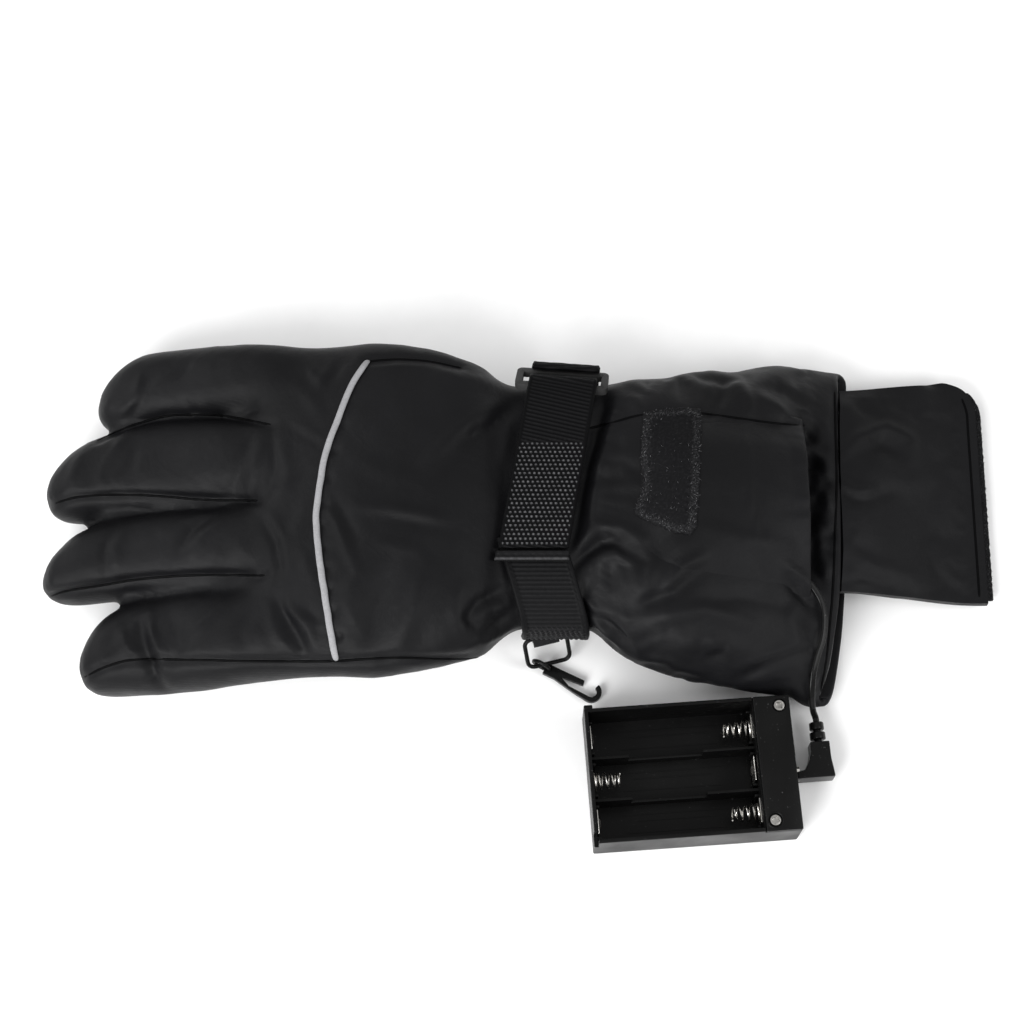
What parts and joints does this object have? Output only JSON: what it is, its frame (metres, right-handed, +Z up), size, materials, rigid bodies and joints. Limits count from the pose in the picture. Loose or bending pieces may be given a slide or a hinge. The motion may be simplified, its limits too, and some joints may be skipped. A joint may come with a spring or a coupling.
{
  "type": "battery-heated riding glove",
  "caption": "Padded right-hand riding glove lying back up, with a wrist strap, a cuff pocket with its flap open, and the lidless battery case that heats it, plugged in by a short lead",
  "frame": {"origin": "on the table, under the middle of the box round the glove and its battery case", "axes": "+X from the fingertips to the cuff, +Y towards the little finger's side, +Z up off the back of the hand"},
  "size_m": [0.3358, 0.178, 0.0515],
  "materials": {
    "nylon": "matte black padded nylon with a soft sheen",
    "webbing": "ribbed black webbing",
    "loop_pile": "fuzzy black loop pile",
    "hook_pile": "bristly black hook tape",
    "reflective": "silver grey reflective piping",
    "grey_plastic": "dark grey moulded plastic",
    "black_plastic": "black moulded plastic, slightly glossy",
    "plated_metal": "nickel plated steel",
    "lead_rubber": "black soft plastic, satin"
  },
  "bodies": {
    "root": {"hand_shell": "nylon", "finger_index": "nylon", "finger_middle": "nylon", "finger_ring": "nylon", "finger_little": "nylon", "thumb": "nylon", "gauntlet": "nylon", "pocket_panel": "nylon", "pocket_flap": "nylon", "strap_anchor": "webbing", "strap_webbing": "webbing", "strap_tab": "webbing", "ring_tab": "webbing", "ring_holder": "webbing", "loop_patch": "loop_pile", "hook_strip": "hook_pile", "piping": "reflective", "strap_ring": "grey_plastic", "wire_ring": "black_plastic", "clip": "black_plastic", "battery_case": "black_plastic", "case_cover": "black_plastic", "case_screw_far": "plated_metal", "case_screw_near": "plated_metal", "spring_far": "plated_metal", "spring_middle": "plated_metal", "spring_near": "plated_metal", "contact_far": "plated_metal", "contact_middle": "plated_metal", "contact_near": "plated_metal", "plug_barrel": "plated_metal", "lead": "lead_rubber", "strain_relief": "lead_rubber", "plug_body": "lead_rubber"}
  },
  "joints": []
}
